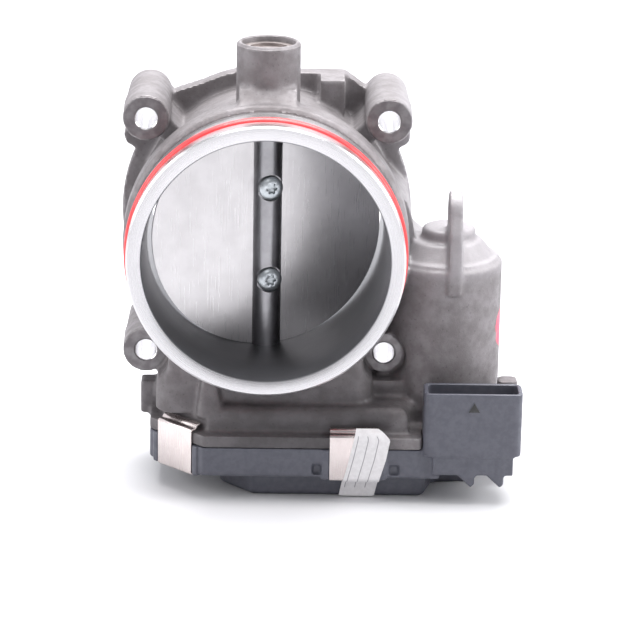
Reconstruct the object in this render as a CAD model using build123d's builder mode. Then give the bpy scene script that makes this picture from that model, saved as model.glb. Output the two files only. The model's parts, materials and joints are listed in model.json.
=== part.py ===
from build123d import *
import os
from math import acos, cos, pi, radians, sin, tan

# Electronic throttle body of a petrol engine, in millimetres.
# +Z is up along the throttle shaft, +Y points to the intake manifold.
# The origin is the centre of the bore on the manifold face.

os.makedirs("parts", exist_ok=True)

# ---- Driving dimensions -------------------------------------------------

# Air passage
bore_r = 39.0
mouth_r = 40.0
body_length = 70.0
spigot_r = 45.0
spigot_length = 19.0
taper_length = 18.0
collar_r = 46.8
collar_back = -41.5
waist_r = 43.4

# O-ring on the spigot
ring_wire_r = 1.85
ring_mean_r = 44.1
groove_r = ring_mean_r - ring_wire_r
groove_start = 6.2
groove_width = 4.2

# Manifold flange
bolt_pitch = 79.2
bolt_hole_r = 3.5
boss_r = 7.65
boss_length = 40.0
boss_step = 24.0
small_boss_r = 7.2
boss_web = 7.0
flange_r = 49.0
flange_thickness = 7.0
flange_top = 47.8

# Throttle shaft and plate
shaft_y = -32.0
shaft_r = 5.0
shaft_top = 58.0
shaft_end_r = 4.0
shaft_bottom = -74.0
running_gap = 0.03
plate_thickness = 2.0
plate_gap = 0.08
closed_angle = 5.0
rest_angle = 16.0
screw_height = 15.7
screw_head_r = 3.6
screw_thread_r = 2.0
counterbore_r = 4.5
screw_seat = 3.2

# Bearings
boss_outer_r = 10.5
boss_top = 64.0
needle_r = 8.0
needle_bottom = 48.0
needle_top = 59.0
plug_r = 8.8
plug_thickness = 2.2
ball_bearing_r = 11.0
ball_bearing_top = -50.0
ball_bearing_bottom = -56.0
seal_r = 8.0
seal_top = -45.5
seal_bottom = -49.5

# Gear case and cover
case_front = -63.8
case_rear = -1.8
case_left = -38.0
case_right = 81.5
case_step_x = 52.1
case_step_y = -52.8
roof_z = -53.0
floor_z = -57.0
flange_top_z = -61.3
seam_z = -65.5
cover_edge_z = -75.5
cover_bottom_z = -84.0
wall_setback = 4.5
case_cavity_inset = 7.0
cover_cavity_inset = 4.0
cover_shelf_z = -73.5
cover_floor_z = -81.5

# Gear train: sector and small gear, large gear and pinion
coarse_module = 0.9
fine_module = 0.8
sector_teeth = 54
small_teeth = 16
large_teeth = 56
pinion_teeth = 14
idler_x = coarse_module * (sector_teeth + small_teeth) / 2
motor_x = idler_x + fine_module * (large_teeth + pinion_teeth) / 2
sector_top = -67.0
sector_bottom = -73.0
large_top = -74.0
large_bottom = -78.5
idler_pin_r = 2.5
opening_angle = 70.0
sector_margin = 12.0

# Motor
motor_r = 14.0
motor_pocket_r = 14.3
motor_housing_r = 19.0
motor_shoulder_z = -8.5
motor_top = -12.0
motor_bottom = -65.5
pocket_top = -10.5
motor_shaft_r = 1.5
plate_z = -68.0

# Connector on the cover
plug_left = 52.3
plug_right = 84.6
plug_front = -65.5
plug_back = -53.5
plug_top = -45.2
plug_bottom = -67.0
plug_wall = 1.4
plug_floor = -62.5
pin_count = 6
pin_pitch = 4.2

# Cover clips: place on the outline and the direction they face
clip_width = 16.0
clip_thickness = 0.8
clip_places = [
    (-29.0, -54.8, 225),
    (29.7, case_front, 270),
    (case_right, -28.0, 0),
    (46.0, case_rear, 90),
    (2.0, case_rear, 90),
    (-30.0, -9.8, 135),
]


def level(x, y, z):
    """Horizontal plane through a point."""
    return Plane(origin=(x, y, z))


def throttle_plane(angle):
    """Plane through the shaft axis, facing the air inlet, turned about the shaft."""
    turn = radians(angle)
    return Plane(origin=(0, shaft_y, 0), x_dir=(cos(turn), sin(turn), 0),
                 z_dir=(sin(turn), -cos(turn), 0))


def clip_plane(place):
    """Vertical plane across a clip: x points outwards, y up."""
    x, y, facing = place
    turn = radians(facing)
    return Plane(origin=(x, y, 0), x_dir=(cos(turn), sin(turn), 0),
                 z_dir=(sin(turn), -cos(turn), 0))


def save(builder, name):
    builder.part.label = name
    export_step(builder.part, f"parts/{name}.step")


# ---- Outlines -----------------------------------------------------------

case_points = [
    (-20.0, case_front), (case_step_x, case_front), (case_step_x, case_step_y),
    (70.0, case_step_y), (case_right, -42.0), (case_right, -14.0),
    (69.0, case_rear), (-22.0, case_rear), (case_left, -17.8), (case_left, -45.8),
]

with BuildSketch() as case_outline:
    with BuildLine():
        Polyline(*case_points, close=True)
    make_face()
    fillet(case_outline.vertices(), 1.5)


def outline(inset):
    """Gear-case outline, moved inwards."""
    with BuildSketch() as smaller:
        add(case_outline.sketch)
        if inset > 0:
            offset(amount=-inset, kind=Kind.INTERSECTION)
    return smaller.sketch


plateau_points = [
    (-4.0, -58.3), (53.5, -58.3), (57.0, -45.6), (72.0, -43.6), (74.0, -14.0),
    (66.0, -6.2), (-4.0, -6.2), (-15.0, -17.0), (-15.0, -47.0),
]


def plateau(inset):
    """Outline of the raised middle of the cover, moved inwards."""
    with BuildSketch() as raised:
        with BuildLine():
            Polyline(*plateau_points, close=True)
        make_face()
        fillet(raised.vertices(), 3.0)
        if inset > 0:
            offset(amount=-inset, kind=Kind.INTERSECTION)
    return raised.sketch


def involute(angle):
    return tan(angle) - angle


def gear_points(module, teeth, addendum, dedendum, first, count, backlash=0.10):
    """Outline points of count involute teeth; first is the angle of the first tooth."""
    pitch_r = module * teeth / 2
    pressure = radians(20)
    base_r = pitch_r * cos(pressure)
    tip_r = pitch_r + addendum * module
    root_r = pitch_r - dedendum * module
    middle = pi / (2 * teeth) - backlash / (2 * pitch_r)
    flank = []
    for step in range(4):
        r = max(base_r, root_r) + (tip_r - max(base_r, root_r)) * step / 3
        half = middle + involute(pressure) - involute(acos(min(1, base_r / r)))
        flank.append((r, half))
    if root_r < base_r:
        flank.insert(0, (root_r, flank[0][1]))
    points = []
    for tooth in range(count):
        centre = radians(first) + tooth * 2 * pi / teeth
        for r, half in flank:
            points.append((r * cos(centre - half), r * sin(centre - half)))
        for r, half in reversed(flank):
            points.append((r * cos(centre + half), r * sin(centre + half)))
    return points


# ---- Housing ------------------------------------------------------------

lip_y = -body_length
spigot_back = lip_y + spigot_length
bolt_x = bolt_pitch / 2

with BuildPart() as case_block:
    with BuildSketch(Plane.XY.offset(flange_top_z)):
        add(outline(wall_setback))
    extrude(amount=roof_z - flange_top_z)
    fillet(case_block.faces().sort_by(Axis.Z)[-1].edges(), 3.5)

with BuildPart() as housing:
    # Barrel and spigot
    with BuildSketch(Plane.XY):
        with BuildLine():
            Polyline((0, lip_y), (spigot_r - 0.6, lip_y), (spigot_r, lip_y + 0.6),
                     (spigot_r, spigot_back), (collar_r, spigot_back + 1.2),
                     (collar_r + 0.2, collar_back), (waist_r, collar_back + 3),
                     (waist_r, 0), (0, 0), close=True)
        make_face()
    revolve(axis=Axis.Y)

    # Flange plate between the bolt bosses
    with BuildSketch(Plane.XZ):
        with BuildLine():
            Polyline((-bolt_x, 37.8), (-boss_outer_r, flange_top), (25.6, flange_top),
                     (bolt_x, 37.8), (44.7, 20), (44.7, -20), (bolt_x, -37.8),
                     (-bolt_x, -37.8), (-44.7, -20), (-44.7, 20), close=True)
        make_face()
        Circle(flange_r)
        with Locations((-44.2, 25.5), (44.0, 26.5)):
            Circle(4.2)
        with Locations((0, flange_top + 5)):
            Rectangle(bolt_x, 10, mode=Mode.SUBTRACT)
    extrude(amount=flange_thickness)
    with BuildSketch(Plane.XZ.offset(flange_thickness)):
        with Locations((21.4, 42.0)):
            Rectangle(8.4, 11.4)
    extrude(amount=11)

    # Webs from the barrel to the upper bosses and the lower left boss
    with BuildSketch(Plane.XZ):
        for turn in (45, 135, 225):
            with PolarLocations(waist_r + 4, 1, start_angle=turn):
                Rectangle(14, boss_web)
    extrude(amount=30)

    # Bolt bosses, drafted both ways from a parting line
    with BuildSketch(Plane.XZ.offset(boss_step)):
        with Locations((-bolt_x, bolt_x), (bolt_x, bolt_x), (-bolt_x, -bolt_x)):
            Circle(boss_r + 0.25)
    extrude(amount=boss_length - boss_step, taper=1)
    with BuildSketch(Plane.XZ.offset(boss_step)):
        with Locations((-bolt_x, bolt_x), (bolt_x, bolt_x), (-bolt_x, -bolt_x)):
            Circle(boss_r)
    extrude(amount=-boss_step, taper=1)
    with BuildSketch(Plane.XZ):
        with Locations((bolt_x, -bolt_x)):
            Circle(boss_r)
    extrude(amount=boss_length - 2)
    with BuildSketch(Plane.XZ.offset(boss_length - 2)):
        with Locations((bolt_x, -bolt_x)):
            Circle(small_boss_r)
    extrude(amount=2)

    # Upper bearing boss
    with BuildSketch(level(0, shaft_y, 30)):
        Circle(boss_outer_r)
    extrude(amount=boss_top - 30)
    chamfer(housing.faces().sort_by(Axis.Z)[-1].edges(), 1.0)
    with BuildSketch(Plane.YZ.offset(-9.5)):
        with BuildLine():
            Polyline((-49.6, 45), (-42, 50.4), (-36, 50.4), (-36, 42), (-49.6, 42), close=True)
        make_face()
    extrude(amount=19)

    # Neck between barrel and gear case
    with BuildSketch(level(0, -29.5, floor_z)) as neck:
        Rectangle(72, 50)
        fillet(neck.vertices(), 7)
    extrude(amount=20, taper=2)
    with BuildSketch(level(-18, -52, floor_z)) as neck_rib:
        Rectangle(9, 14)
        fillet(neck_rib.vertices(), 3)
    extrude(amount=14, taper=8)

    # Gear case with its clip flange
    add(case_block.part)
    with BuildSketch(Plane.XY.offset(seam_z)):
        add(case_outline.sketch)
    extrude(amount=flange_top_z - seam_z)

    # Motor housing with its stepped dome and cap
    with BuildSketch(level(motor_x, shaft_y, floor_z)):
        Circle(motor_housing_r)
    extrude(amount=motor_shoulder_z - floor_z)
    with BuildSketch(level(motor_x, shaft_y, motor_shoulder_z)):
        Circle(motor_housing_r - 1.4)
    extrude(amount=1.6)
    with BuildSketch(level(motor_x, shaft_y, motor_shoulder_z + 1.6)):
        Circle(motor_housing_r - 2.8)
    extrude(amount=5.4, taper=40)
    with BuildSketch(level(motor_x + 1.0, shaft_y, motor_shoulder_z + 4)) as cap:
        Circle(9.2)
    extrude(amount=7.0, taper=3)
    cap_rim = housing.edges().filter_by(GeomType.CIRCLE).filter_by_position(
        Axis.Z, motor_shoulder_z + 10.9, motor_shoulder_z + 11.1)
    fillet(cap_rim, 1.6)

    # Web from the barrel to the motor housing
    with BuildSketch(Plane.XZ.offset(12)):
        with BuildLine():
            Polyline((38, 20), (46.4, 11), (48.2, 5), (49.6, -4), (56, -7), (58, -12),
                     (58, -56), (34, -56), (34, -20), close=True)
        make_face()
    extrude(amount=24)
    with BuildSketch(Plane.XZ):
        with BuildLine():
            Polyline((38, 20), (47.2, 10), (49.6, -4), (54, -7.6), (54, -26), (38, -26),
                     close=True)
        make_face()
    extrude(amount=16)

    # Filling between neck and motor housing, under the lower right boss
    with BuildSketch(level(39.5, -40, floor_z)):
        Rectangle(13, 12)
    extrude(amount=9.4)

    # Ear in front of the motor housing
    with BuildSketch(Plane.YZ.offset(59.7)):
        with BuildLine():
            Polyline((-52.0, -16), (-51.0, 4), (-48.5, 10), (-34.5, 10), (-34.5, -16), close=True)
        make_face()
        with Locations((-41.5, 10)):
            Circle(7)
    extrude(amount=4.5)

    # Lug at the left of the case and post at its right
    with BuildSketch(level(-37.5, -32, -63.5)) as lug:
        Rectangle(8, 8)
        fillet(lug.vertices(), 1)
    extrude(amount=11.5)
    with BuildSketch(level(80.6, -46.5, seam_z)) as post:
        Rectangle(6.6, 7)
        fillet(post.vertices(), 2.2)
    extrude(amount=19.6)

    # Inside of the gear case
    with BuildSketch(Plane.XY.offset(seam_z)):
        add(outline(case_cavity_inset))
    extrude(amount=floor_z - seam_z, mode=Mode.SUBTRACT)
    with BuildSketch(level(motor_x, shaft_y, motor_bottom)):
        Circle(18.3)
        with PolarLocations(19.5, 1, start_angle=60):
            Circle(4)
        with PolarLocations(19.5, 1, start_angle=215):
            Circle(4)
    extrude(amount=floor_z - motor_bottom)

    # Motor pocket, screw holes and idler pin hole
    with BuildSketch(level(motor_x, shaft_y, motor_bottom)):
        Circle(motor_pocket_r)
    extrude(amount=pocket_top - motor_bottom, mode=Mode.SUBTRACT)
    with BuildSketch(level(motor_x, shaft_y, motor_bottom)):
        with PolarLocations(19.5, 1, start_angle=60):
            Circle(1.5)
        with PolarLocations(19.5, 1, start_angle=215):
            Circle(1.5)
    extrude(amount=8, mode=Mode.SUBTRACT)
    with BuildSketch(level(idler_x, shaft_y, floor_z)):
        Circle(idler_pin_r)
    extrude(amount=8, mode=Mode.SUBTRACT)

    # Shaft bore with its bearing and seal seats
    with BuildSketch(level(0, shaft_y, floor_z)):
        Circle(shaft_r + 0.3)
    extrude(amount=boss_top - floor_z, mode=Mode.SUBTRACT)
    with BuildSketch(level(0, shaft_y, needle_bottom)):
        Circle(needle_r)
    extrude(amount=boss_top - needle_bottom, mode=Mode.SUBTRACT)
    with BuildSketch(level(0, shaft_y, needle_top + 0.8)):
        Circle(plug_r)
    extrude(amount=boss_top - needle_top, mode=Mode.SUBTRACT)
    with BuildSketch(level(0, shaft_y, floor_z)):
        Circle(ball_bearing_r)
    extrude(amount=ball_bearing_top - floor_z, mode=Mode.SUBTRACT)
    with BuildSketch(level(0, shaft_y, seal_bottom - 0.5)):
        Circle(seal_r)
    extrude(amount=seal_top - seal_bottom + 0.5, mode=Mode.SUBTRACT)

    # Air passage, tapering in from the mouth
    with BuildSketch(Plane.XY):
        with BuildLine():
            Polyline((0, lip_y - 1), (mouth_r + 1.6, lip_y - 1), (mouth_r, lip_y + 0.6),
                     (bore_r, lip_y + taper_length), (bore_r, -0.8), (bore_r + 1.8, 1),
                     (0, 1), close=True)
        make_face()
    revolve(axis=Axis.Y, mode=Mode.SUBTRACT)

    # O-ring groove
    with BuildSketch(Plane.XY):
        with Locations(((groove_r + spigot_r + 2) / 2, lip_y + groove_start + groove_width / 2)):
            Rectangle(spigot_r + 2 - groove_r, groove_width)
    revolve(axis=Axis.Y, mode=Mode.SUBTRACT)

    # Room for a socket in front of the lower bosses
    for centre_x, socket_r in ((-bolt_x, boss_r + 0.25), (bolt_x, small_boss_r)):
        with BuildSketch(Plane.XZ.offset(boss_length)):
            with Locations((centre_x, -bolt_x)):
                Circle(socket_r)
        extrude(amount=18, mode=Mode.SUBTRACT)

    # Bolt holes and ear hole
    with BuildSketch(Plane.XZ):
        with GridLocations(bolt_pitch, bolt_pitch, 2, 2):
            Circle(bolt_hole_r)
    extrude(amount=boss_length + 2, mode=Mode.SUBTRACT)
    with BuildSketch(Plane.YZ.offset(58)):
        with Locations((-41.5, 10)):
            Circle(3)
    extrude(amount=8, mode=Mode.SUBTRACT)
save(housing, "housing")

with BuildPart() as spigot_o_ring:
    with BuildSketch(Plane.XY):
        with Locations((ring_mean_r, lip_y + groove_start + groove_width / 2)):
            Circle(ring_wire_r)
    revolve(axis=Axis.Y)
save(spigot_o_ring, "spigot_o_ring")

# ---- Bearings, seal and plug -------------------------------------------

with BuildPart() as bearing_plug:
    with BuildSketch(level(0, shaft_y, needle_top + 0.8)):
        Circle(plug_r)
    extrude(amount=plug_thickness)
    with BuildSketch(level(0, shaft_y, needle_top + 0.8 + plug_thickness)):
        Circle(6.4)
    extrude(amount=-1.0, mode=Mode.SUBTRACT)
save(bearing_plug, "bearing_plug")

with BuildPart() as upper_bearing:
    with BuildSketch(level(0, shaft_y, needle_bottom)):
        Circle(needle_r)
        Circle(shaft_r + running_gap, mode=Mode.SUBTRACT)
    extrude(amount=needle_top - needle_bottom)
save(upper_bearing, "upper_bearing")

with BuildPart() as lower_bearing:
    with BuildSketch(level(0, shaft_y, ball_bearing_bottom)):
        Circle(ball_bearing_r)
        Circle(shaft_r + running_gap, mode=Mode.SUBTRACT)
    extrude(amount=ball_bearing_top - ball_bearing_bottom)
    for face_z, depth in ((ball_bearing_bottom, 0.8), (ball_bearing_top, -0.8)):
        with BuildSketch(level(0, shaft_y, face_z)):
            Circle(9.4)
            Circle(6.8, mode=Mode.SUBTRACT)
        extrude(amount=depth, mode=Mode.SUBTRACT)
save(lower_bearing, "lower_bearing")

with BuildPart() as shaft_seal:
    with BuildSketch(level(0, shaft_y, seal_bottom)):
        Circle(seal_r)
        Circle(shaft_r + running_gap, mode=Mode.SUBTRACT)
    extrude(amount=seal_top - seal_bottom)
    with BuildSketch(level(0, shaft_y, seal_bottom)):
        Circle(7)
        Circle(5.8, mode=Mode.SUBTRACT)
    extrude(amount=2, mode=Mode.SUBTRACT)
save(shaft_seal, "shaft_seal")

# ---- Throttle: shaft, plate, screws, sector gear, magnet ----------------

screw_places = [(0, screw_height), (0, -screw_height)]

with BuildPart() as throttle_shaft:
    with BuildSketch(level(0, shaft_y, floor_z)):
        Circle(shaft_r)
    extrude(amount=shaft_top - floor_z)
    chamfer(throttle_shaft.faces().sort_by(Axis.Z)[-1].edges(), 0.8)
    with BuildSketch(level(0, shaft_y, shaft_bottom)):
        Circle(shaft_end_r)
    extrude(amount=floor_z - shaft_bottom)
    with BuildSketch(throttle_plane(rest_angle).offset(-plate_thickness / 2)):
        Rectangle(4 * shaft_r, 2 * bore_r)
    extrude(amount=plate_thickness, mode=Mode.SUBTRACT)
    with BuildSketch(throttle_plane(rest_angle).offset(screw_seat)):
        with Locations(*screw_places):
            Circle(counterbore_r)
    extrude(amount=3, mode=Mode.SUBTRACT)
    with BuildSketch(throttle_plane(rest_angle).offset(-shaft_r - 1)):
        with Locations(*screw_places):
            Circle(screw_thread_r)
    extrude(amount=2 * shaft_r, mode=Mode.SUBTRACT)
save(throttle_shaft, "throttle_shaft")

with BuildPart() as closed_plate:
    with BuildSketch(Plane.XZ):
        Circle(bore_r - plate_gap)
    extrude(amount=body_length)
    with BuildSketch(throttle_plane(closed_angle).offset(-plate_thickness / 2)):
        Rectangle(3 * bore_r, 3 * bore_r)
    extrude(amount=plate_thickness, mode=Mode.INTERSECT)
    with BuildSketch(throttle_plane(closed_angle).offset(-5)):
        with Locations(*screw_places):
            Circle(screw_thread_r + 0.1)
    extrude(amount=10, mode=Mode.SUBTRACT)

with BuildPart() as throttle_plate:
    shaft_axis = Axis((0, shaft_y, 0), (0, 0, 1))
    add(closed_plate.part.rotate(shaft_axis, rest_angle - closed_angle))
save(throttle_plate, "throttle_plate")

with BuildPart() as plate_screws:
    with BuildSketch(throttle_plane(rest_angle).offset(-shaft_r + 0.2)):
        with Locations(*screw_places):
            Circle(screw_thread_r)
    extrude(amount=shaft_r - 0.2 + screw_seat)
    with BuildSketch(throttle_plane(rest_angle).offset(screw_seat)):
        with Locations(*screw_places):
            Circle(screw_head_r)
    extrude(amount=2.0)
    rims = plate_screws.edges().filter_by(GeomType.CIRCLE).group_by(Axis.Y)[0]
    chamfer(rims, 0.5)
    with BuildSketch(throttle_plane(rest_angle).offset(screw_seat + 2.0)):
        with Locations(*screw_places):
            Circle(1.45)
        for place in screw_places:
            with Locations(place):
                with PolarLocations(1.5, 6):
                    Circle(0.42)
    extrude(amount=-1.3, mode=Mode.SUBTRACT)
save(plate_screws, "plate_screws")

tooth_step = 360 / sector_teeth
teeth_before = int((opening_angle + sector_margin) / tooth_step)
teeth_after = int((rest_angle - closed_angle + sector_margin) / tooth_step)
sector_count = teeth_before + teeth_after + 1

with BuildPart() as sector_gear:
    with BuildSketch(level(0, shaft_y, sector_bottom)):
        with BuildLine():
            rim = gear_points(coarse_module, sector_teeth, 0.9, 1.15,
                              -teeth_before * tooth_step, sector_count)
            Polyline((0, 0), *rim, close=True)
        make_face()
    extrude(amount=sector_top - sector_bottom)
    with BuildSketch(level(0, shaft_y, sector_bottom)):
        Circle(21.2)
        Circle(8, mode=Mode.SUBTRACT)
    extrude(amount=2.0, mode=Mode.SUBTRACT)
    with BuildSketch(level(0, shaft_y, -77.5)):
        Circle(6.5)
    extrude(amount=-66.3 + 77.5)
    with BuildSketch(level(0, shaft_y, -77.5)):
        Circle(shaft_end_r)
    extrude(amount=20, mode=Mode.SUBTRACT)
    with BuildSketch(level(0, shaft_y, -77.5)):
        Circle(4.6)
    extrude(amount=3, mode=Mode.SUBTRACT)
save(sector_gear, "sector_gear")

with BuildPart() as sector_magnet:
    with BuildSketch(level(0, shaft_y, -77.3)):
        Circle(4.6)
    extrude(amount=2.8)
save(sector_magnet, "sector_magnet")

with BuildPart() as spring_guide:
    with BuildSketch(level(0, shaft_y, -65.8)):
        Circle(10.6)
        Circle(9.2, mode=Mode.SUBTRACT)
    extrude(amount=floor_z + 65.8)
    with BuildSketch(level(0, shaft_y, floor_z - 1.2)):
        Circle(14.6)
        Circle(9.2, mode=Mode.SUBTRACT)
    extrude(amount=1.2)
save(spring_guide, "spring_guide")

with BuildPart() as return_spring:
    with BuildLine() as coil:
        Helix(pitch=2.0, height=5.6, radius=12.4, center=(0, shaft_y, -65.0))
    with BuildSketch(coil.line ^ 0):
        Circle(0.75)
    sweep(is_frenet=True)
save(return_spring, "return_spring")

# ---- Intermediate gear --------------------------------------------------

with BuildPart() as intermediate_gear_pin:
    with BuildSketch(level(idler_x, shaft_y, -80.0)):
        Circle(idler_pin_r)
    extrude(amount=floor_z + 8 + 80.0)
save(intermediate_gear_pin, "intermediate_gear_pin")

with BuildPart() as intermediate_gear:
    with BuildSketch(level(idler_x, shaft_y, large_bottom)):
        with BuildLine():
            Polyline(*gear_points(fine_module, large_teeth, 0.85, 1.2, 0, large_teeth),
                     close=True)
        make_face()
        with PolarLocations(13.6, 6):
            Circle(3.4, mode=Mode.SUBTRACT)
    extrude(amount=large_top - large_bottom)
    with BuildSketch(level(idler_x, shaft_y, large_top)):
        with BuildLine():
            Polyline(*gear_points(coarse_module, small_teeth, 0.9, 1.15, 180 / small_teeth,
                                  small_teeth), close=True)
        make_face()
    extrude(amount=7.6)
    with BuildSketch(level(idler_x, shaft_y, large_bottom)):
        Circle(idler_pin_r + running_gap)
    extrude(amount=20, mode=Mode.SUBTRACT)
save(intermediate_gear, "intermediate_gear")

# ---- Motor --------------------------------------------------------------

with BuildPart() as motor_can:
    with BuildSketch(level(motor_x, shaft_y, motor_bottom)):
        Circle(motor_r)
    extrude(amount=motor_top - motor_bottom)
    with BuildSketch(level(motor_x, shaft_y, motor_bottom)):
        Circle(motor_r - 1.2)
    extrude(amount=motor_top - motor_bottom - 1.2, mode=Mode.SUBTRACT)
save(motor_can, "motor_can")

with BuildPart() as motor_magnets:
    with BuildSketch(level(motor_x, shaft_y, -54)):
        Circle(motor_r - 1.25)
        Circle(11.3, mode=Mode.SUBTRACT)
        Rectangle(9, 40, mode=Mode.SUBTRACT)
    extrude(amount=32)
save(motor_magnets, "motor_magnets")

with BuildPart() as motor_armature:
    with BuildSketch(level(motor_x, shaft_y, -52)):
        Circle(10.6)
        with PolarLocations(8.6, 5):
            Rectangle(6, 2.2, mode=Mode.SUBTRACT)
        with PolarLocations(6.6, 5):
            Circle(2.4, mode=Mode.SUBTRACT)
        Circle(motor_shaft_r, mode=Mode.SUBTRACT)
    extrude(amount=28)
save(motor_armature, "motor_armature")

with BuildPart() as motor_windings:
    for start_z in (-55.5, -23.9):
        with BuildSketch(level(motor_x, shaft_y, start_z)):
            Circle(9.6)
            Circle(4.8, mode=Mode.SUBTRACT)
        extrude(amount=3.4)
    with BuildSketch(level(motor_x, shaft_y, -52.1)):
        with PolarLocations(6.6, 5):
            Circle(2.2)
    extrude(amount=28.2)
save(motor_windings, "motor_windings")

with BuildPart() as motor_commutator:
    with BuildSketch(level(motor_x, shaft_y, -62.0)):
        Circle(4.4)
        Circle(motor_shaft_r, mode=Mode.SUBTRACT)
        with PolarLocations(4.2, 5, start_angle=36):
            Rectangle(1.6, 0.4, mode=Mode.SUBTRACT)
    extrude(amount=6.4)
save(motor_commutator, "motor_commutator")

with BuildPart() as motor_shaft:
    with BuildSketch(level(motor_x, shaft_y, -79.8)):
        Circle(motor_shaft_r)
    extrude(amount=79.8 - 13.6)
save(motor_shaft, "motor_shaft")

with BuildPart() as motor_pinion:
    with BuildSketch(level(motor_x, shaft_y, -79.2)):
        with BuildLine():
            Polyline(*gear_points(fine_module, pinion_teeth, 0.9, 1.05, 180 / pinion_teeth,
                                  pinion_teeth), close=True)
        make_face()
        Circle(motor_shaft_r, mode=Mode.SUBTRACT)
    extrude(amount=6.4)
save(motor_pinion, "motor_pinion")

with BuildPart() as motor_bushes:
    for start_z, height in ((-17.0, 3.6), (motor_bottom, 2.2)):
        with BuildSketch(level(motor_x, shaft_y, start_z)):
            Circle(4)
            Circle(motor_shaft_r + running_gap, mode=Mode.SUBTRACT)
        extrude(amount=height)
save(motor_bushes, "motor_bushes")

with BuildPart() as motor_brushes:
    for side in (-1, 1):
        with BuildSketch(level(motor_x, shaft_y + side * 8.2, -61.2)):
            Rectangle(4, 6.6)
        extrude(amount=4)
save(motor_brushes, "motor_brushes")

with BuildPart() as motor_end_plate:
    with BuildSketch(level(motor_x, shaft_y, plate_z)):
        Circle(motor_r + 1.4)
        with PolarLocations(19.5, 1, start_angle=60):
            Circle(4)
        with PolarLocations(19.5, 1, start_angle=215):
            Circle(4)
        make_hull()
        Circle(3, mode=Mode.SUBTRACT)
        with PolarLocations(19.5, 1, start_angle=60):
            Circle(1.7, mode=Mode.SUBTRACT)
        with PolarLocations(19.5, 1, start_angle=215):
            Circle(1.7, mode=Mode.SUBTRACT)
        with Locations((8, 7), (8, -7)):
            Rectangle(1.4, 4.4, mode=Mode.SUBTRACT)
    extrude(amount=motor_bottom - plate_z)
save(motor_end_plate, "motor_end_plate")

with BuildPart() as motor_screws:
    for turn in (60, 215):
        screw_x = motor_x + 19.5 * cos(radians(turn))
        screw_y = shaft_y + 19.5 * sin(radians(turn))
        with BuildSketch(level(screw_x, screw_y, plate_z)):
            Circle(1.5)
        extrude(amount=9)
        with BuildSketch(level(screw_x, screw_y, plate_z)):
            Circle(2.9)
            RegularPolygon(1.5, 6, mode=Mode.SUBTRACT)
        extrude(amount=-1.8)
save(motor_screws, "motor_screws")

with BuildPart() as motor_wave_washer:
    with BuildSketch(level(motor_x, shaft_y, motor_top)):
        Circle(13)
        Circle(10, mode=Mode.SUBTRACT)
    extrude(amount=0.6)
    with BuildSketch(level(motor_x, shaft_y, motor_top + 0.6)):
        with PolarLocations(11.5, 3):
            Rectangle(2.6, 5)
    extrude(amount=0.8)
save(motor_wave_washer, "motor_wave_washer")

# ---- Cover --------------------------------------------------------------

plug_x = (plug_left + plug_right) / 2
plug_y = (plug_front + plug_back) / 2
pin_places = [plug_x + (i - (pin_count - 1) / 2) * pin_pitch for i in range(pin_count)]
clip_bottom_z = cover_edge_z - clip_thickness

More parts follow.
